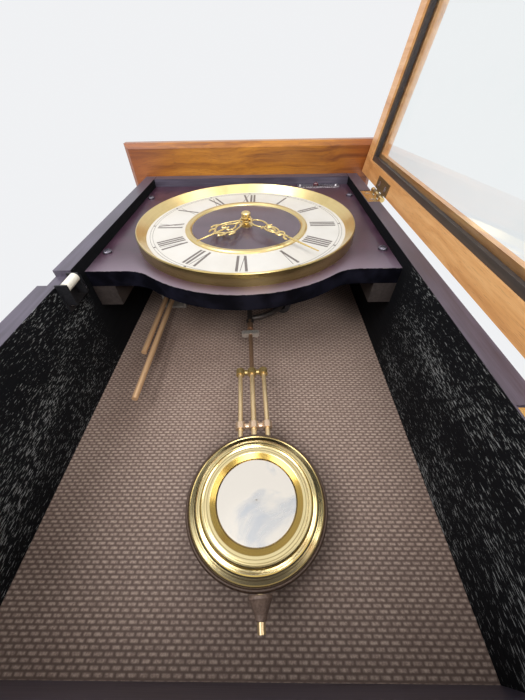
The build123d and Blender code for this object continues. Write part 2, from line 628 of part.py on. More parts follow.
def mitre(corners, ys):
    """A wedge in front view, from two corners of the door to the ends of its middle line."""
    return sheet(make_face(Polyline(*corners, close=True)), ys)


def door_frame():
    frame = inset(0, (door_front, DOOR_BACK))
    outer = [e for e in frame.edges() if abs(e.center().Y - door_front) < 0.01]
    frame = fillet(outer, 6.0)
    frame = frame - inset(DOOR_MEMBER, (door_front - 1, DOOR_BACK + 1))
    frame = frame - inset(DOOR_FLAT, (GLASS_SEAT, DOOR_BACK + 1))
    inner = [e for e in frame.edges() if abs(e.center().Y - door_front) < 0.01
             and abs(e.center().X) < DOOR_HALF - 20 and DOOR_BOTTOM + 20 < e.center().Z < DOOR_TOP - 20]
    return chamfer(inner, 3.0)


def members(frame, ys):
    """Cuts a rectangular frame at its mitres into left, right, bottom and top."""
    half = DOOR_HALF
    corners = ((-half, DOOR_BOTTOM), (half, DOOR_BOTTOM), (half, DOOR_TOP), (-half, DOOR_TOP))
    low, high = (0, DOOR_BOTTOM + half), (0, DOOR_TOP - half)
    a, b, c, d = corners
    outlines = {"left": (a, low, high, d), "right": (b, c, high, low)}
    outlines.update(bottom=(a, b, low), top=(d, high, c))
    return {name: frame & mitre(points, ys) for name, points in outlines.items()}


parts = members(door_frame(), (door_front - 1, DOOR_BACK + 1))
door_holes = hinge_door_holes + strike_holes
nodes["door_stile_free"] = open_door(cut(parts["left"], door_holes))
nodes["door_stile_hinge"] = open_door(cut(parts["right"], door_holes))
nodes["door_rails"] = Compound([open_door(parts["bottom"]), open_door(parts["top"])])

glass_back = GLASS_SEAT + GLASS
nodes["door_glass"] = open_door(inset(DOOR_FLAT + 0.5, (GLASS_SEAT, glass_back)))
bead_ys = (glass_back, glass_back + BEAD)
bead_ring = inset(DOOR_FLAT, bead_ys) - inset(DOOR_FLAT + BEAD, (bead_ys[0] - 1, bead_ys[1] + 1))
beads = members(bead_ring, (bead_ys[0] - 1, bead_ys[1] + 1))
nodes["glass_beads"] = Compound([open_door(bead) for bead in beads.values()])

strike = block((-147, -131.7), (DOOR_BACK, DOOR_BACK + LEAF), (CATCH_Z - 5.5, CATCH_Z + 5.5))
strike = strike + block((-132.7, -131.7), (DOOR_BACK, -2.5), (CATCH_Z - 4.5, CATCH_Z + 4.5))
nodes["door_strike"] = open_door(cut(strike, strike_holes))
nodes["door_screws"] = Compound([open_door(s) for s in hinge_door_screws + strike_screws])


# ---------------------------------------------------------------- hinges
def hinge_leaf(centre, leaf_ys, knuckles, holes):
    """A leaf with its share of the five knuckles."""
    low = centre - HINGE_LENGTH / 2
    pitch = HINGE_LENGTH / 5
    leaf = block((LEAF_EDGE, PIN_X - KNUCKLE_R - 0.3), leaf_ys, (low, low + HINGE_LENGTH))
    for number in knuckles:
        zs = (low + number * pitch + 0.15, low + (number + 1) * pitch - 0.15)
        leaf = leaf + block((PIN_X - KNUCKLE_R - 0.4, PIN_X), leaf_ys, zs)
        leaf = leaf + along_z(PIN_X, PIN_Y, zs, KNUCKLE_R)
    leaf = leaf - along_z(PIN_X, PIN_Y, (low - 1, low + HINGE_LENGTH + 1), PIN_R + SLIP)
    return cut(leaf, holes)


case_leaf_ys = (PIN_Y + KNUCKLE_R - LEAF, PIN_Y + KNUCKLE_R)
door_leaf_ys = (PIN_Y - KNUCKLE_R, PIN_Y - KNUCKLE_R + LEAF)
case_hinges, door_hinges = [], []
for centre in HINGE_CENTRES:
    case_hinges.append(hinge_leaf(centre, case_leaf_ys, (0, 2, 4), hinge_case_holes))
    case_hinges.append(along_z(PIN_X, PIN_Y, (centre - HINGE_LENGTH / 2, centre + HINGE_LENGTH / 2), PIN_R))
    door_hinges.append(open_door(hinge_leaf(centre, door_leaf_ys, (1, 3), hinge_door_holes)))
nodes["hinges_case_half"] = Compound(case_hinges)
nodes["hinges_door_half"] = Compound(door_hinges)

# ---------------------------------------------------------------- pendulum
leader = along_y(0, 0, (-3, 1.6), 4.5) - along_y(0, 0, (-5, 5), 1.5 + SLIP)
leader = leader + block((-2.5, 2.5), (-0.8, 0.8), (-EYE_S + 2.6, -4.0))
leader = leader + along_y(0, -EYE_S, (-0.8, 0.8), 4.0)
start, middle, end = (polar(MAGNET_ARC, a) for a in (-86, -47, -6))
arc = ThreePointArc((start[0], 0, start[1]), (middle[0], 0, middle[1]), (end[0], 0, end[1]))
leader = leader + sweep(Plane(origin=arc @ 0, z_dir=arc % 0) * Circle(ARM_R), path=arc)
pawl = wire([(0, 0, -19.2), (0, -14.4, -19.2), (-10, -14.4, -19.2)], 0.5)
nodes["pendulum_leader"] = hang((leader + pawl) - along_y(0, -EYE_S, (-3, 3), 1.9))

hook = block((-2.6, 2.6), (1.0, 2.2), (-EYE_S - 12, -EYE_S + 3)) + along_y(0, -EYE_S, (-1.4, 2.2), 1.5)
sleeve = along_z(0, 0, (-EYE_S - 13, -EYE_S - 5), SLEEVE_R)
main_rod = along_z(0, 0, (-TIP_S, -EYE_S - 5), MAIN_ROD_R)
side_rod_zs = (-LOW_BRIDGE_S - 24, -TOP_BRIDGE_S + 4.5)
side_rods = [along_z(s * SIDE_ROD_X, 0, side_rod_zs, SIDE_ROD_R) for s in (-1, 1)]
nodes["pendulum_rods"] = Compound([hang(hook + sleeve + main_rod)] + [hang(rod) for rod in side_rods])

side_hole_zs = (side_rod_zs[0] - SLIP, side_rod_zs[1] + 5)
rod_holes = [along_z(0, 0, (-TIP_S - 9, 0), MAIN_ROD_R + SLIP)]
rod_holes += [along_z(s * SIDE_ROD_X, 0, side_hole_zs, SIDE_ROD_R + SLIP) for s in (-1, 1)]


def bridge(s, collar, link):
    """Three collars on the rods, joined by thin links with a bead halfway."""
    body = block((-SIDE_ROD_X, SIDE_ROD_X), (-link, link), (-s - link, -s + link))
    for x in (-SIDE_ROD_X / 2, SIDE_ROD_X / 2):
        body = body + along_x(0, -s, (x - 1.1, x + 1.1), BEAD_R)
    for x in (-SIDE_ROD_X, 0, SIDE_ROD_X):
        body = body + along_z(x, 0, (-s - collar[1] / 2, -s + collar[1] / 2), collar[0])
    return cut(body, rod_holes)


corner_x = CROSS_HALF - 1.6
crosspiece = sheet(make_face(Polyline(
    (-corner_x, -2.3), (corner_x, -2.3), (CROSS_HALF, -1.2), (CROSS_HALF, 1.2), (corner_x, 2.3), (-corner_x, 2.3),
    (-CROSS_HALF, 1.2), (-CROSS_HALF, -1.2), close=True)), (-2.6, 2.6))
nodes["pendulum_bridges"] = Compound([
    hang(cut(Pos(0, 0, -CROSS_S) * crosspiece, rod_holes)),
    hang(bridge(TOP_BRIDGE_S, TOP_COLLAR, LINK_HALF)),
    hang(bridge(LOW_BRIDGE_S, LOW_COLLAR, LINK_HALF))])

bob_back = turned_y([
    (0, -2.8), (BOB_FACE_R, -2.8), (BOB_FACE_R + 0.6, -3.4), (BOB_R - 0.8, -3.4), (BOB_R, -2.4), (BOB_R, 3.4),
    (BOB_R - 2.4, 5.0), (0, 5.0)])
nodes["bob_back"] = hang(cut(Pos(0, 0, -BOB_S) * bob_back, rod_holes))
bob_front = turned_y([
    (MIRROR_R + 0.3, -2.84), (BOB_FACE_R - 0.2, -2.84), (BOB_FACE_R - 0.2, -3.9), (40.4, -4.5), (39.9, -4.2),
    (37.3, -5.3), (36.6, -5.9), (35.9, -5.3), (34.1, -5.9), (33.7, -5.6), (32.8, -6.5), (32.0, -6.0),
    (30.5, -6.2), (28.3, -6.2), (MIRROR_R + 0.3, -4.4)])
nodes["bob_front"] = hang(Pos(0, 0, -BOB_S) * bob_front)
bob_mirror = turned_y([(0, -2.84), (MIRROR_R, -2.84), (MIRROR_R, -3.6), (MIRROR_R - 0.5, -3.9), (0, -4.3)])
nodes["bob_mirror"] = hang(Pos(0, 0, -BOB_S) * bob_mirror)

nut = turned_z([
    (MAIN_ROD_R + SLIP, -NUT_S[0]), (5.9, -NUT_S[0]), (6.4, -NUT_S[0] - 0.5), (6.4, -NUT_S[0] - 1.6),
    (5.8, -NUT_S[0] - 2.4), (4.7, -NUT_S[0] - 4.6), (3.3, -NUT_S[0] - 7.4), (2.9, -NUT_S[1] + 0.4),
    (2.6, -NUT_S[1]), (MAIN_ROD_R + SLIP, -NUT_S[1])])
nodes["rating_nut"] = hang(nut)

# ---------------------------------------------------------------- write
os.makedirs("parts", exist_ok=True)
for name, shape in nodes.items():
    export_step(Pos(*DIAL_CENTRE) * shape, "parts/" + name + ".step")
print(len(nodes), "nodes")
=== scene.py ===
import json
from math import cos, pi, radians, sin

import bmesh
import bpy
from mathutils import Matrix, Vector


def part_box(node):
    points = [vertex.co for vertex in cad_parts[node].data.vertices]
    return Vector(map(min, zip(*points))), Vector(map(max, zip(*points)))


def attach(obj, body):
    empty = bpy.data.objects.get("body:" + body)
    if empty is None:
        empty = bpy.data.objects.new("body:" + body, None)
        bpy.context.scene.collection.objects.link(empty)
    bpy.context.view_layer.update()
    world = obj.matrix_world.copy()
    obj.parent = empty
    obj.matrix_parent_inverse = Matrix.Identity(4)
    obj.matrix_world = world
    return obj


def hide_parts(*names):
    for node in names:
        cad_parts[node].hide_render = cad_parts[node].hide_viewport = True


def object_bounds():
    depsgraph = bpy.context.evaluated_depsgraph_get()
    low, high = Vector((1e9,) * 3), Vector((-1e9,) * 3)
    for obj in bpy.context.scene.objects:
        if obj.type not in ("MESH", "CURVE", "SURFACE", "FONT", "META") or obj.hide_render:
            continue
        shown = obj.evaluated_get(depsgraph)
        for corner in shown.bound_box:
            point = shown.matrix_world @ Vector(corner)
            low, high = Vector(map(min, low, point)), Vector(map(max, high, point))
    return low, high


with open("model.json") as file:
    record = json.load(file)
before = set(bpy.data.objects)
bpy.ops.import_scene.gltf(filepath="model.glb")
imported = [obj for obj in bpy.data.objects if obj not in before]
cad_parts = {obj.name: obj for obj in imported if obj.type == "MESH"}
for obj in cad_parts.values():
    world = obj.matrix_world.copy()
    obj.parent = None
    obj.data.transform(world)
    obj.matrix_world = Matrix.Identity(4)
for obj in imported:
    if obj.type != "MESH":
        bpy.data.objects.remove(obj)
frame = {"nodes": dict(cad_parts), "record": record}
cad_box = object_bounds()
MM = 0.001

# ---------------------------------------------------------------- places, read from the frame


def middle(node):
    low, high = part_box(node)
    return (low + high) / 2


HUB = middle("dial_rings")
HUB.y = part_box("dial_plate")[0].y
BOARD_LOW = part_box("dial_board")[0]
SIDE_INNER = abs(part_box("side_left")[1].x)
BOB = middle("bob_mirror")


# ---------------------------------------------------------------- camera
def photo_camera():
    """The eye is below the dial and close to it, and looks up."""
    lens, eye = 14.153, Vector((0.01984, -0.11768, -0.28993))
    pitch, yaw, roll = radians(43.41), radians(-1.15), radians(0.37)
    ahead = Vector((sin(yaw) * cos(pitch), cos(yaw) * cos(pitch), sin(pitch)))
    level = Vector((cos(yaw), -sin(yaw), 0))
    upward = level.cross(ahead)
    right = level * cos(roll) + upward * sin(roll)
    up = upward * cos(roll) - level * sin(roll)
    data = bpy.data.cameras.new("eye")
    data.lens = lens
    data.sensor_width = 36.0
    data.clip_start = 0.01
    camera = bpy.data.objects.new("eye", data)
    bpy.context.scene.collection.objects.link(camera)
    facing = Matrix((right, up, -ahead)).transposed().to_quaternion()
    camera.matrix_world = Matrix.LocRotScale(HUB + eye, facing, None)
    bpy.context.scene.camera = camera


photo_camera()

# Hands, as the frame sets them, in degrees clockwise from twelve
MINUTE_ANGLE = 139.0
HOUR_ANGLE = 221.6


def dial_point(angle, radius, side=0.0, depth=0.0):
    """A point on the dial in mm: out along an hour angle, sideways clockwise, and depth behind the face."""
    a = radians(angle)
    x = radius * sin(a) + side * cos(a)
    z = radius * cos(a) - side * sin(a)
    return HUB + Vector((x, depth, z)) * MM


# ---------------------------------------------------------------- materials
WEAVE_ROW, WEAVE_DASH = 0.0024, 0.0058
# How far the upper bridge is below the top of the crosspiece
CROSS_TO_BRIDGE = 0.052
SOCKETS = {
    "rough": "Roughness", "metal": "Metallic", "coat": "Coat Weight", "coat_rough": "Coat Roughness",
    "ior": "IOR", "through": "Transmission Weight"}


class Look:
    """A procedural material: one Principled shader, fed by noise, rings and masks in the row frame."""

    def __init__(self, name, **sockets):
        self.material = bpy.data.materials.new(name)
        self.material.use_nodes = True
        self.tree = self.material.node_tree
        self.shader = self.tree.nodes["Principled BSDF"]
        for key, value in sockets.items():
            self.shader.inputs[SOCKETS[key]].default_value = value
        self.place = self.add("ShaderNodeTexCoord").outputs["Object"]
        self.normal = self.add("ShaderNodeNewGeometry").outputs["Normal"]

    def add(self, kind, inputs=None, **settings):
        node = self.tree.nodes.new(kind)
        for key, value in settings.items():
            setattr(node, key, value)
        for key, value in (inputs or {}).items():
            if isinstance(value, bpy.types.NodeSocket):
                self.tree.links.new(value, node.inputs[key])
            else:
                node.inputs[key].default_value = value
        return node

    def math(self, operation, a, b=0.0):
        return self.add("ShaderNodeMath", {0: a, 1: b}, operation=operation).outputs[0]

    def axis(self, letter, vector=None):
        split = self.add("ShaderNodeSeparateXYZ", {0: self.place if vector is None else vector})
        return split.outputs[letter]

    def scaled(self, *scale, turn=(0, 0, 0), shift=(0, 0, 0)):
        inputs = {"Vector": self.place, "Scale": scale, "Rotation": turn, "Location": shift}
        return self.add("ShaderNodeMapping", inputs).outputs[0]

    def noise(self, vector, scale=1.0, detail=3.0, rough=0.55, twist=0.0):
        inputs = {"Vector": vector, "Scale": scale, "Detail": detail, "Roughness": rough, "Distortion": twist}
        return self.add("ShaderNodeTexNoise", inputs).outputs["Fac"]

    def band(self, value, low, high):
        """0 below low and 1 above high, or the other way round if low is the larger."""
        inputs = {"Value": value, "From Min": low, "From Max": high}
        return self.add("ShaderNodeMapRange", inputs, interpolation_type="SMOOTHSTEP").outputs["Result"]

    def span(self, value, low, high, to_low, to_high):
        inputs = {"Value": value, "From Min": low, "From Max": high, "To Min": to_low, "To Max": to_high}
        return self.add("ShaderNodeMapRange", inputs).outputs["Result"]

    def mix(self, share, a, b, how="MIX"):
        node = self.add("ShaderNodeMix", data_type="RGBA", blend_type=how)
        for index, value in ((0, share), (6, a), (7, b)):
            if isinstance(value, bpy.types.NodeSocket):
                self.tree.links.new(value, node.inputs[index])
            elif index:
                node.inputs[index].default_value = (*value, 1)
            else:
                node.inputs[index].default_value = value
        return node.outputs[2]

    def ramp(self, value, *stops):
        node = self.add("ShaderNodeValToRGB", {0: value})
        elements = node.color_ramp.elements
        while len(elements) < len(stops):
            elements.new(0.5)
        for element, (position, colour) in zip(elements, stops):
            element.position = position
            element.color = (*colour, 1)
        return node.outputs["Color"]

    def rings(self, centre):
        """Distance in metres from an axis that runs front to back through a point."""
        offset = self.add("ShaderNodeVectorMath", {0: self.place, 1: centre}, operation="SUBTRACT").outputs[0]
        flat = self.add("ShaderNodeVectorMath", {0: offset, 1: (1, 0, 1)}, operation="MULTIPLY").outputs[0]
        return self.add("ShaderNodeVectorMath", {0: flat}, operation="LENGTH").outputs["Value"]

    def colour(self, socket):
        self.feed("Base Color", socket)

    def feed(self, name, socket):
        self.tree.links.new(socket, self.shader.inputs[name])

    def rough(self, socket):
        self.feed("Roughness", socket)

    def bump(self, height, depth, strength=1.0):
        inputs = {"Height": height, "Distance": depth, "Strength": strength}
        node = self.add("ShaderNodeBump", inputs)
        self.tree.links.new(node.outputs["Normal"], self.shader.inputs["Normal"])


def grain_vector(look, along, fine, coarse):
    """Object coordinates squeezed so that noise runs in streaks along one axis."""
    scale = [fine, fine, fine]
    scale["xyz".index(along)] = coarse
    return look.scaled(*scale)


def painted_wood(name, along, flecked=False, tone=(0.100, 0.084, 0.120), shade=(0.050, 0.040, 0.058)):
    """Satin paint on wood. A flecked piece is rough black on its inner face, with silvery streaks that are
    partly its rough texture and partly painted glints, faded out above the dial board's lower edge.
    """
    look = Look(name, coat_rough=0.3)
    grain = look.noise(grain_vector(look, along, 420, 26), detail=4)
    cloud = look.noise(look.scaled(9, 9, 9), detail=2)
    paint = look.ramp(grain, (0.3, shade), (0.7, tone))
    colour = look.mix(look.math("MULTIPLY", look.band(cloud, 0.4, 0.65), 0.5), paint, shade)
    rough = look.span(grain, 0.3, 0.7, 0.36, 0.48)
    if flecked:
        across = look.math("ABSOLUTE", look.axis("X"))
        inner = look.band(across, SIDE_INNER + 0.0006, SIDE_INNER + 0.0002)
        slant = look.scaled(1500, 1100, 210, turn=(0.35, 0, 0))
        fine = look.noise(slant, detail=3, rough=0.65)
        crowd = look.noise(look.scaled(30, 30, 12), detail=4)
        value = look.math("ADD", fine, look.math("MULTIPLY", crowd, 0.34))
        # Painted glints: the silvery flecks fade out above the dial board's lower edge.
        low = look.band(look.axis("Z"), BOARD_LOW.z + 0.030, BOARD_LOW.z + 0.010)
        fleck_glints = look.math("MULTIPLY", look.band(value, 0.74, 0.83), low)
        black = look.mix(fleck_glints, (0.006, 0.0065, 0.008), (0.26, 0.27, 0.27))
        colour = look.mix(inner, colour, black)
        rough = look.math("ADD", rough, look.math("MULTIPLY", inner, 0.3))
        outside = look.math("SUBTRACT", 1.0, inner)
        look.feed("Specular IOR Level", look.span(outside, 0.0, 1.0, 0.08, 0.5))
        look.feed("Coat Weight", look.math("MULTIPLY", outside, 0.25))
    look.colour(colour)
    look.rough(rough)
    look.bump(grain, 0.00016, 0.45)
    return look


def dial_board_paint():
    """Satin wine paint on the face with a painted lilac sheen near its lower rim, near-black below, and a
    pale line where the lower front edge is worn.
    """
    look = Look("dial_board_paint", coat_rough=0.24)
    mottle = look.noise(look.scaled(60, 60, 60), detail=5)
    wood = look.noise(grain_vector(look, "x", 300, 20), detail=3)
    face = look.ramp(mottle, (0.35, (0.038, 0.014, 0.028)), (0.65, (0.062, 0.026, 0.046)))
    radius = look.rings(HUB)
    # Painted sheen: the face turns paler lilac near its rim, low on the board.
    drop = look.band(look.axis("Z"), HUB.z - 0.045, HUB.z - 0.100)
    painted_sheen = look.math("MULTIPLY", look.math("MULTIPLY", look.band(radius, 0.1085, 0.1200), drop), 0.75)
    face = look.mix(painted_sheen, face, (0.230, 0.180, 0.225))
    down = look.math("MULTIPLY", look.axis("Z", look.normal), -1.0)
    below = look.band(down, 0.15, 0.5)
    depth = look.math("SUBTRACT", look.axis("Y"), BOARD_LOW.y)
    edge = look.math("MULTIPLY", look.band(depth, 0.0006, 0.0001), below)
    nicks = look.noise(look.scaled(260, 260, 260), detail=4)
    chips = look.math("MULTIPLY", look.band(nicks, 0.42, 0.62), 0.7)
    dark = look.mix(look.band(mottle, 0.4, 0.7), (0.003, 0.003, 0.005), (0.009, 0.009, 0.016))
    colour = look.mix(below, face, dark)
    look.colour(look.mix(look.math("MULTIPLY", edge, chips), colour, (0.40, 0.36, 0.35)))
    front = look.math("SUBTRACT", 1.0, below)
    look.feed("Specular IOR Level", look.span(front, 0.0, 1.0, 0.06, 0.5))
    look.feed("Coat Weight", look.math("MULTIPLY", front, 0.3))
    look.rough(look.span(mottle, 0.3, 0.7, 0.32, 0.42))
    look.bump(wood, 0.00010, 0.35)
    return look


def figured_wood(name, along, tones, pores, scale=1.0, end_shade=None):
    """Varnished wood with curved growth lines, fine streaks and dark pores."""
    look = Look(name, coat=0.35, coat_rough=0.25)
    wander = look.noise(look.scaled(9, 9, 9), detail=2)
    bent = look.add("ShaderNodeVectorMath", {0: look.place}, operation="ADD")
    push = look.add("ShaderNodeCombineXYZ")
    for axis in "XYZ":
        amount = 0.0 if axis.lower() == along else 0.03
        look.tree.links.new(look.math("MULTIPLY", wander, amount), push.inputs[axis])
    look.tree.links.new(push.outputs[0], bent.inputs[1])
    size = [135 * scale] * 3
    size["xyz".index(along)] = 5 * scale
    squeezed = look.add("ShaderNodeVectorMath", {0: bent.outputs[0], 1: size}, operation="MULTIPLY")
    lines = look.noise(squeezed.outputs[0], detail=4, rough=0.6)
    streaks = look.noise(grain_vector(look, along, 1300, 40), detail=2)
    holes = look.band(look.noise(grain_vector(look, along, 2200, 120), detail=1), 0.62, 0.72)
    colour = look.ramp(lines, (0.32, tones[0]), (0.5, tones[1]), (0.66, tones[2]))
    colour = look.mix(look.math("MULTIPLY", look.band(streaks, 0.45, 0.75), 0.35), colour, tones[0])
    # Painted shade: the wood darkens and reddens towards both ends of the piece.
    if end_shade:
        away = look.band(look.math("ABSOLUTE", look.axis("X")), 0.075, 0.165)
        colour = look.mix(away, colour, end_shade, "MULTIPLY")
    look.colour(look.mix(look.math("MULTIPLY", holes, pores), colour, (0.07, 0.03, 0.015)))
    look.rough(look.span(lines, 0.3, 0.7, 0.42, 0.30))
    look.bump(look.math("SUBTRACT", streaks, look.math("MULTIPLY", holes, 0.6)), 0.00012, 0.35)
    return look


def crown_wood():
    tones = ((0.215, 0.066, 0.009), (0.400, 0.148, 0.016), (0.510, 0.205, 0.025))
    # The crown darkens and reddens towards its ends: painted shade.
    return figured_wood("crown_wood", "x", tones, 0.5, end_shade=(0.62, 0.42, 0.40))


def door_wood():
    """Bare orange wood on every side."""
    tones = ((0.55, 0.24, 0.075), (0.74, 0.37, 0.135), (0.83, 0.46, 0.19))
    return figured_wood("door_wood", "z", tones, 0.25, 0.8)


def hardboard():
    """Brown hardboard pressed on a screen: rows of short pale dashes, each offset by half a dash."""
    look = Look("hardboard", rough=0.75)
    row = look.math("DIVIDE", look.axis("Z"), WEAVE_ROW)
    number = look.math("FLOOR", row)
    offset = look.math("MULTIPLY", number, 0.5)
    column = look.math("ADD", look.math("DIVIDE", look.axis("X"), WEAVE_DASH), offset)
    across = look.math("ABSOLUTE", look.math("SUBTRACT", look.math("FRACT", column), 0.5))
    upright = look.math("ABSOLUTE", look.math("SUBTRACT", look.math("FRACT", row), 0.5))
    dash = look.math("MULTIPLY", look.band(across, 0.50, 0.22), look.band(upright, 0.48, 0.10))
    fibre = look.noise(look.scaled(900, 900, 900), detail=3)
    height = look.math("ADD", dash, look.math("MULTIPLY", fibre, 0.6))
    pale = look.mix(look.band(fibre, 0.3, 0.7), (0.27, 0.19, 0.155), (0.50, 0.38, 0.31))
    tone = look.mix(dash, (0.145, 0.095, 0.076), pale)
    stain = look.noise(look.scaled(7, 7, 7), detail=2)
    worn = look.math("MULTIPLY", look.band(stain, 0.45, 0.75), 0.5)
    look.colour(look.mix(worn, tone, (0.45, 0.36, 0.32), "MULTIPLY"))
    look.bump(height, 0.0003, 0.7)
    return look


def brass(name, tone, shade, rough, centre=None, along=None, tarnish=0.25, metal=1.0, bands=(),
          dim_above=None):
    """Lacquered brass, brushed round a centre, along an axis, or evenly.

    bands tint it by radius in mm, and it is browner above the height dim_above.
    """
    look = Look(name, metal=metal, coat=0.3, coat_rough=0.12)
    if centre is not None:
        radius = look.rings(centre)
        lathe = look.add("ShaderNodeCombineXYZ", {"X": radius, "Y": look.axis("Y")}).outputs[0]
        scratches = look.noise(lathe, scale=4200, detail=2)
    elif along:
        scratches = look.noise(grain_vector(look, along, 3800, 60), detail=2)
    else:
        scratches = look.noise(look.place, scale=1800, detail=2)
    cloud = look.noise(look.place, scale=38, detail=4)
    colour = look.mix(look.math("MULTIPLY", look.band(cloud, 0.45, 0.72), tarnish), tone, shade)
    for low, high, tint in bands:
        ring = look.math("MULTIPLY", look.band(radius, (low - 0.2) * MM, (low + 0.2) * MM),
                         look.band(radius, (high + 0.2) * MM, (high - 0.2) * MM))
        colour = look.mix(ring, colour, tint, "MULTIPLY")
    if dim_above is not None:
        high = look.band(look.axis("Z"), dim_above - 0.001, dim_above + 0.002)
        colour = look.mix(high, colour, (0.34, 0.20, 0.12))
    look.colour(look.mix(look.math("MULTIPLY", look.band(scratches, 0.5, 0.8), 0.25), colour, shade))
    look.rough(look.span(scratches, 0.3, 0.7, rough - 0.06, rough + 0.08))
    look.bump(scratches, 0.00003, 0.35)
    return look


def plated(name, tone, shade, rough, metal=1.0, speck=900, coat=0.0):
    """Plated, cast or blackened metal with a fine mottle."""
    look = Look(name, metal=metal, coat=coat, coat_rough=0.2)
    speckle = look.noise(look.place, scale=speck, detail=4)
    cloud = look.noise(look.place, scale=45, detail=3)
    colour = look.ramp(speckle, (0.35, shade), (0.62, tone))
    look.colour(look.mix(look.math("MULTIPLY", look.band(cloud, 0.45, 0.75), 0.3), colour, shade))
    look.rough(look.span(speckle, 0.3, 0.7, rough - 0.05, rough + 0.1))
    look.bump(speckle, 0.00005, 0.5)
    return look


def moulded(name, tone, shade, rough, coat=0.0):
    """Moulded plastic or smooth enamel: a faint mottle under an even skin."""
    look = Look(name, coat=coat, coat_rough=0.1)
    speckle = look.noise(look.place, scale=1500, detail=2)
    cloud = look.noise(look.place, scale=30, detail=3)
    colour = look.mix(look.band(cloud, 0.35, 0.7), tone, shade)
    look.colour(colour)
    look.rough(look.span(speckle, 0.3, 0.7, rough - 0.04, rough + 0.06))
    look.bump(speckle, 0.00002, 0.4)
    return look


def bridge_metal():
    """Pale crosspiece at the top, dark brass on the upper bridge and pinkish brass on the lower one."""
    look = Look("bridge_metal", metal=0.75, coat=0.3, coat_rough=0.15)
    low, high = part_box("pendulum_bridges")
    share = look.span(look.axis("Z"), low.z, high.z, 0.0, 1.0)
    scratches = look.noise(look.place, scale=1800, detail=2)
    pinkish, dark, pale = (0.76, 0.55, 0.38), (0.48, 0.34, 0.13), (0.62, 0.58, 0.53)
    tone = look.ramp(share, (0.20, pinkish), (0.24, dark), (0.76, dark), (0.80, pale))
    worn = look.math("MULTIPLY", look.band(scratches, 0.4, 0.8), 0.4)
    look.colour(look.mix(worn, tone, (0.30, 0.22, 0.12)))
    look.rough(look.span(scratches, 0.3, 0.7, 0.24, 0.40))
    look.bump(scratches, 0.00003, 0.35)
    return look


def mirror():
    """The bob's disc: bright spun metal with a faint haze."""
    look = Look("mirror", metal=1.0)
    haze = look.noise(look.place, scale=32, detail=4, twist=0.8)
    look.colour(look.mix(look.band(haze, 0.50, 0.72), (0.95, 0.88, 0.78), (0.60, 0.62, 0.65)))
    look.rough(look.span(haze, 0.3, 0.7, 0.16, 0.30))
    return look


def glass():
    look = Look("glass", rough=0.02, through=1.0, ior=1.45)
    smear = look.noise(look.place, scale=14, detail=4)
    look.colour(look.mix(look.band(smear, 0.4, 0.7), (0.97, 0.99, 0.98), (0.93, 0.97, 0.96)))
    look.bump(smear, 0.0001, 0.05)
    return look


def ink():
    look = Look("print", rough=0.5)
    speckle = look.noise(look.place, scale=2500, detail=3)
    look.colour(look.ramp(speckle, (0.35, (0.105, 0.088, 0.080)), (0.65, (0.185, 0.158, 0.145))))
    return look


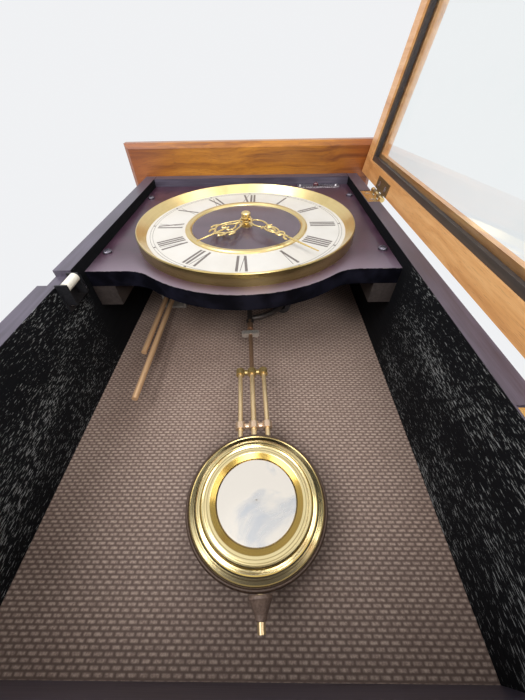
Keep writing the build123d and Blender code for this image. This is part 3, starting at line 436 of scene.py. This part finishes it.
GOLD, GOLD_SHADE = (0.83, 0.62, 0.26), (0.42, 0.27, 0.07)
STRAW, STRAW_SHADE = (0.90, 0.75, 0.40), (0.50, 0.36, 0.10)
# Painted shade: these two tints darken thin lines along the bob's spun rings and grooves.
SHADOW, GROOVE_SHADE = (0.52, 0.46, 0.36), (0.30, 0.26, 0.18)
BEZEL_BANDS = ((107.3, 112.0, (0.52, 0.50, 0.42)),)
# The bob's tints by radius: darker gold from 20 to 28.1 mm, then thin lines of painted shade.
BOB_BANDS = ((20.0, 28.1, (0.46, 0.36, 0.16)), (29.5, 29.9, SHADOW), (31.1, 31.5, SHADOW),
             (33.3, 34.0, GROOVE_SHADE), (34.9, 35.3, SHADOW), (37.9, 38.3, SHADOW), (39.9, 40.5, GROOVE_SHADE))
looks = {
    "side_paint": painted_wood("side_paint", "z", True),
    "cross_paint": painted_wood("cross_paint", "x"),
    "batten_paint": painted_wood("batten_paint", "z", False, (0.060, 0.048, 0.044), (0.028, 0.022, 0.021)),
    "dial_board_paint": dial_board_paint(),
    "crown_wood": crown_wood(),
    "door_wood": door_wood(),
    "hardboard": hardboard(),
    "bezel": brass("bezel_brass", (0.80, 0.63, 0.30), (0.46, 0.32, 0.09), 0.33, centre=HUB,
                   bands=BEZEL_BANDS),
    "bob": brass("bob_brass", STRAW, STRAW_SHADE, 0.2, centre=BOB, tarnish=0.15, bands=BOB_BANDS),
    "bridge": bridge_metal(),
    "rod": brass("rod_brass", (0.80, 0.60, 0.33), (0.46, 0.31, 0.15), 0.3, along="z", metal=0.7,
                 dim_above=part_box("pendulum_bridges")[1].z - CROSS_TO_BRIDGE),
    "brass": brass("brass", GOLD, GOLD_SHADE, 0.25),
    "bronze": plated("dark_bronze", (0.32, 0.23, 0.12), (0.17, 0.12, 0.06), 0.38, metal=0.8),
    "gong_rod": brass("gong_rod", (0.74, 0.46, 0.25), (0.42, 0.24, 0.12), 0.36, along="z", metal=0.45),
    "bob_rim": plated("bob_rim", (0.105, 0.064, 0.044), (0.055, 0.032, 0.022), 0.35, metal=0.3, coat=0.15),
    "nut": plated("nut_brown", (0.215, 0.145, 0.112), (0.135, 0.088, 0.067), 0.48, metal=0.15),
    "mirror": mirror(),
    "nickel": plated("nickel", (0.72, 0.70, 0.72), (0.54, 0.52, 0.54), 0.25),
    "screw": plated("dial_screws", (0.24, 0.22, 0.26), (0.14, 0.13, 0.16), 0.4),
    "steel": plated("steel", (0.56, 0.56, 0.58), (0.38, 0.38, 0.40), 0.33),
    "dark_steel": plated("dark_steel", (0.10, 0.085, 0.078), (0.05, 0.042, 0.038), 0.4, metal=0.6),
    "black_steel": plated("black_steel", (0.030, 0.030, 0.034), (0.014, 0.014, 0.017), 0.35, metal=0.3),
    "cast": plated("cast_block", (0.52, 0.48, 0.43), (0.33, 0.30, 0.27), 0.5, metal=0.4, speck=500),
    "white": moulded("white_dial", (0.61, 0.585, 0.545), (0.57, 0.54, 0.49), 0.38, coat=0.08),
    "disc": moulded("dark_disc", (0.085, 0.055, 0.076), (0.062, 0.040, 0.056), 0.36, coat=0.3),
    "nylon": moulded("nylon", (0.80, 0.77, 0.68), (0.68, 0.64, 0.54), 0.42),
    "red": moulded("switch_red", (0.095, 0.010, 0.020), (0.055, 0.006, 0.012), 0.2, coat=0.6),
    "black": moulded("coil_case", (0.022, 0.022, 0.025), (0.014, 0.014, 0.016), 0.45),
    "battery": moulded("battery_skin", (0.42, 0.05, 0.035), (0.30, 0.035, 0.025), 0.25, coat=0.5),
    "glass": glass(),
    "ink": ink(),
}

# The look of each slot, and of each node that differs from its slot
SLOT_LOOKS = {
    "painted_wood": "side_paint", "dial_board_paint": "dial_board_paint", "crown_wood": "crown_wood",
    "door_wood": "door_wood", "hardboard": "hardboard", "brass": "brass", "gong_rod": "gong_rod",
    "bob_rim": "bob_rim", "mirror": "mirror", "nickel": "nickel", "steel": "steel",
    "dark_steel": "dark_steel",
    "cast_block": "cast", "white_dial": "white", "dark_disc": "disc", "nylon": "nylon", "switch_red": "red",
    "coil_case": "black", "battery_skin": "battery", "glass": "glass"}
NODE_LOOKS = {
    "top_and_bottom_panels": "cross_paint", "battens": "batten_paint", "glass_beads": "batten_paint",
    "bezel": "bezel", "dial_rings": "bezel", "hand_knob": "bezel", "bob_front": "bob", "pendulum_rods": "rod",
    "pendulum_bridges": "bridge", "case_screws": "nickel", "door_screws": "nickel", "board_screws": "screw",
    "hinges_door_half": "bronze", "catch_bracket": "black_steel", "rating_nut": "nut"}


def dress(piece, look):
    piece.data.materials.clear()
    piece.data.materials.append(looks[look].material)


slot_of = {part["node"]: part["material_slot"] for part in frame["record"]["subparts"]}
for name, node in frame["nodes"].items():
    dress(node, NODE_LOOKS.get(name, SLOT_LOOKS[slot_of[name]]))


# ---------------------------------------------------------------- mesh helpers
STROKE_GAIN = 1.3


def new_piece(name, mesh, look, body, smooth=False):
    bmesh.ops.recalc_face_normals(mesh, faces=mesh.faces)
    data = bpy.data.meshes.new(name)
    mesh.to_mesh(data)
    mesh.free()
    for face in data.polygons:
        face.use_smooth = smooth
    piece = bpy.data.objects.new(name, data)
    bpy.context.scene.collection.objects.link(piece)
    dress(piece, look)
    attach(piece, body)
    return piece


def bridge_loops(mesh, loops, closed):
    """Joins loops of points into a skin. An open run is capped at both ends."""
    rows = [[mesh.verts.new(point) for point in loop] for loop in loops]
    pairs = list(zip(rows, rows[1:])) + ([(rows[-1], rows[0])] if closed else [])
    count = len(rows[0])
    for a, b in pairs:
        for i in range(count):
            mesh.faces.new((a[i], a[(i + 1) % count], b[(i + 1) % count], b[i]))
    if not closed:
        mesh.faces.new(rows[0])
        mesh.faces.new(list(reversed(rows[-1])))


def curve_points(points, steps=8, closed=False):
    """A smooth line through points, each a tuple of numbers, as a Catmull-Rom spline."""
    found = []
    count = len(points)
    spans = count if closed else count - 1
    for i in range(spans):
        if closed:
            p = [points[(i + k) % count] for k in (-1, 0, 1, 2)]
        else:
            p = [points[max(0, min(count - 1, i + k))] for k in (-1, 0, 1, 2)]
        for step in range(steps):
            t = step / steps
            weights = ((-t + 2 * t * t - t ** 3) / 2, (2 - 5 * t * t + 3 * t ** 3) / 2,
                       (t + 4 * t * t - 3 * t ** 3) / 2, (t ** 3 - t * t) / 2)
            found.append(tuple(sum(w * q[n] for w, q in zip(weights, p)) for n in range(len(p[0]))))
    if not closed:
        found.append(tuple(points[-1]))
    return found


def stroke(mesh, points, angle, front, back, closed=False):
    """A raised stroke of a hand, through points of distance, side and width in mm."""
    line = curve_points(points, closed=closed)
    count = len(line)
    rise = back - front
    loops = []
    for i, (u, v, width) in enumerate(line):
        before = line[i - 1] if closed else line[max(0, i - 1)]
        after = line[(i + 1) % count] if closed else line[min(count - 1, i + 1)]
        along = Vector((after[0] - before[0], after[1] - before[1]))
        along.normalize()
        half = STROKE_GAIN * width / 2
        profile = ((-half, back), (half, back), (half, front + rise * 0.5), (half * 0.45, front),
                   (-half * 0.45, front), (-half, front + rise * 0.5))
        loops.append([dial_point(angle, u - along.y * s, v + along.x * s, depth) for s, depth in profile])
    bridge_loops(mesh, loops, closed)


def turned(mesh, centre, profile, steps=96):
    """A ring turned about a front-to-back axis, from a closed profile of radius and depth in mm."""
    loops = []
    for i in range(steps):
        a = 2 * pi * i / steps
        loops.append([centre + Vector((r * sin(a), y, r * cos(a))) * MM for r, y in profile])
    bridge_loops(mesh, loops, True)


def prism(mesh, corners, front, back):
    """A flat raised shape on the dial, from corners of angle, distance and side."""
    loops = [[dial_point(a, r, s, depth) for a, r, s in corners] for depth in (front, back)]
    bridge_loops(mesh, loops, False)


def oval(centre, half_u, half_v, width, count=12):
    return [(centre + half_u * cos(2 * pi * i / count), half_v * sin(2 * pi * i / count), width)
            for i in range(count)]


def both_sides(points):
    return [points, [(u, -v, w) for u, v, w in points]]


# ---------------------------------------------------------------- dial print
PRINT_FRONT, PRINT_BACK = -0.07, 0.15
NUMERAL_IN, NUMERAL_OUT = 65.5, 91.0
THICK, THIN = 2.3, 0.55
STROKE_GAP = 1.5
GLYPH_WIDTH = {"I": THICK, "V": 6.8, "X": 7.4}
NUMERALS = ["XII", "I", "II", "III", "IIII", "V", "VI", "VII", "VIII", "IX", "X", "XI"]


def bar(mesh, angle, low_side, high_side, width, lift=0.0):
    """A stroke of a numeral from its foot near the centre to its head."""
    corners = [(angle, NUMERAL_IN, low_side), (angle, NUMERAL_IN, low_side + width),
               (angle, NUMERAL_OUT, high_side + width), (angle, NUMERAL_OUT, high_side)]
    prism(mesh, corners, PRINT_FRONT - lift, PRINT_BACK)


def glyph(mesh, letter, angle, left):
    width = GLYPH_WIDTH[letter]
    if letter == "I":
        bar(mesh, angle, left, left, THICK)
    elif letter == "V":
        bar(mesh, angle, left + width / 2 - THICK / 2, left, THICK)
        bar(mesh, angle, left + width / 2, left + width - THIN, THIN, 0.01)
    else:
        bar(mesh, angle, left + width - THICK, left, THICK)
        bar(mesh, angle, left + 0.4, left + width - THIN - 0.4, THIN, 0.01)


def numerals():
    mesh = bmesh.new()
    for hour, text in enumerate(NUMERALS):
        widths = [GLYPH_WIDTH[letter] for letter in text]
        left = -(sum(widths) + STROKE_GAP * (len(text) - 1)) / 2
        for letter, width in zip(text, widths):
            glyph(mesh, letter, hour * 30.0, left)
            left += width + STROKE_GAP
    return new_piece("dial_numerals", mesh, "ink", "case")


def minute_track():
    mesh = bmesh.new()
    for radius in (94.0, 96.5):
        half = 0.16
        low, high = radius - half, radius + half
        ring = [(low, PRINT_BACK), (high, PRINT_BACK), (high, PRINT_FRONT), (low, PRINT_FRONT)]
        turned(mesh, HUB, ring, 180)
    for hour in range(12):
        sides = 10
        corners = []
        for i in range(sides):
            a = 2 * pi * i / sides
            corners.append((hour * 30.0, 95.3 + 1.15 * cos(a), 1.15 * sin(a)))
        prism(mesh, corners, PRINT_FRONT - 0.01, PRINT_BACK)
    return new_piece("minute_track", mesh, "ink", "case")


numerals()
minute_track()


# ---------------------------------------------------------------- pierced hands
def hub_ring(mesh, inner, outer, front, back):
    turned(mesh, HUB, [(inner, back), (outer, back), (outer, (front + back) / 2), (outer - 0.7, front),
                       (inner, front)], 48)


def minute_hand():
    front, back = -8.2, -7.3
    mesh = bmesh.new()
    hub_ring(mesh, 1.6, 5.2, front, back)
    strokes = [[(4.5, 0, 2.4), (8, 0, 1.9), (11.5, 0, 1.6)]]
    strokes += both_sides([(27.5, 3.6, 1.2), (30.0, 4.6, 1.9), (31.8, 7.0, 0.9)])
    strokes += both_sides([(33.0, 0.6, 1.0), (37.0, 2.0, 1.5), (41.5, 1.6, 1.4), (43.5, -0.8, 0.8)])
    strokes += both_sides([(46.5, 1.4, 1.6), (50.0, 3.6, 1.9), (53.5, 3.0, 1.1), (53.8, 1.4, 0.8)])
    strokes += [[(46.5, 0.2, 1.8), (52, 0.8, 1.7), (58, -0.6, 1.8), (63, 0, 1.9)]]
    strokes += [[(56.5, 0.8, 1.2), (60.0, 4.0, 1.9), (64.0, 4.4, 0.8)]]
    strokes += [[(60, 0, 1.7), (68, 0, 2.3), (80, 0, 1.6), (97, 0, 0.5)]]
    for points in strokes:
        stroke(mesh, points, MINUTE_ANGLE, front, back)
    stroke(mesh, oval(20.5, 9.8, 5.9, 1.5), MINUTE_ANGLE, front, back, closed=True)
    stroke(mesh, oval(38.6, 8.6, 4.7, 1.5), MINUTE_ANGLE, front, back, closed=True)
    piece = new_piece("minute_hand_pierced", mesh, "brass", "minute_arbor")
    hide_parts("minute_hand")


def hour_hand():
    front, back = -6.2, -5.2
    mesh = bmesh.new()
    hub_ring(mesh, 2.7, 6.6, front, back)
    strokes = both_sides([(4.5, 2.0, 1.8), (11.0, 5.2, 1.4), (20.0, 9.2, 1.4), (28.0, 10.4, 1.5),
                          (34.0, 8.2, 1.7), (38.0, 4.2, 1.7), (42.5, 0.4, 1.8)])
    strokes += both_sides([(26.0, 10.4, 1.2), (30.5, 13.0, 2.4), (36.5, 12.6, 0.9)])
    strokes += both_sides([(34.5, 7.2, 1.4), (39.0, 8.4, 2.4), (44.0, 6.2, 0.9)])
    strokes += both_sides([(9.0, 0.4, 1.3), (15.5, 1.6, 1.4), (21.5, 5.6, 1.7), (27.0, 6.0, 1.7),
                           (29.4, 3.0, 1.4), (26.4, 1.6, 1.0)])
    strokes += [[(24.0, 0.0, 1.2), (33.0, 0.0, 1.9), (42.0, 0.0, 2.0), (48.0, 0.0, 1.5), (64.0, 0.0, 0.5)]]
    for points in strokes:
        stroke(mesh, points, HOUR_ANGLE, front, back)
    piece = new_piece("hour_hand_pierced", mesh, "brass", "hour_pipe")
    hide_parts("hour_hand")


minute_hand()
hour_hand()

# ---------------------------------------------------------------- floor and lights
FLOOR_DROP = 1.45


def floor():
    mesh = bmesh.new()
    half, z = 9.0, cad_box[0].z - FLOOR_DROP
    outline = ((-half, -half), (half, -half), (half, half), (-half, half))
    mesh.faces.new([mesh.verts.new((x, y, z)) for x, y in outline])
    data = bpy.data.meshes.new("floor")
    mesh.to_mesh(data)
    mesh.free()
    plane = bpy.data.objects.new("floor", data)
    bpy.context.scene.collection.objects.link(plane)
    look = Look("pale_floor", rough=0.7)
    cloud = look.noise(look.place, scale=1.5, detail=3)
    look.colour(look.mix(cloud, (0.88, 0.88, 0.87), (0.83, 0.83, 0.82)))
    data.materials.append(look.material)


def soft_light(name, offset, size, power, colour=(1, 1, 1)):
    """A large square light, aimed at the dial's centre from an offset in metres."""
    data = bpy.data.lights.new(name, "AREA")
    data.size = size
    data.energy = power
    data.color = colour
    light = bpy.data.objects.new(name, data)
    light.location = HUB + Vector(offset)
    light.rotation_mode = "QUATERNION"
    light.rotation_quaternion = (-Vector(offset)).to_track_quat("-Z", "Y")
    bpy.context.scene.collection.objects.link(light)


def studio():
    world = bpy.data.worlds.new("studio")
    world.use_nodes = True
    bpy.context.scene.world = world
    background = world.node_tree.nodes["Background"]
    background.inputs["Color"].default_value = (0.97, 0.98, 1.0, 1)
    background.inputs["Strength"].default_value = 0.9
    soft_light("key", (-0.9, -1.5, -0.7), 0.9, 18)
    soft_light("fill", (1.1, -1.3, -0.2), 0.9, 8, (1.0, 0.97, 0.93))
    soft_light("low", (0.25, -1.0, -1.1), 0.6, 12)


studio()
floor()
bpy.context.scene.view_settings.view_transform = "Standard"
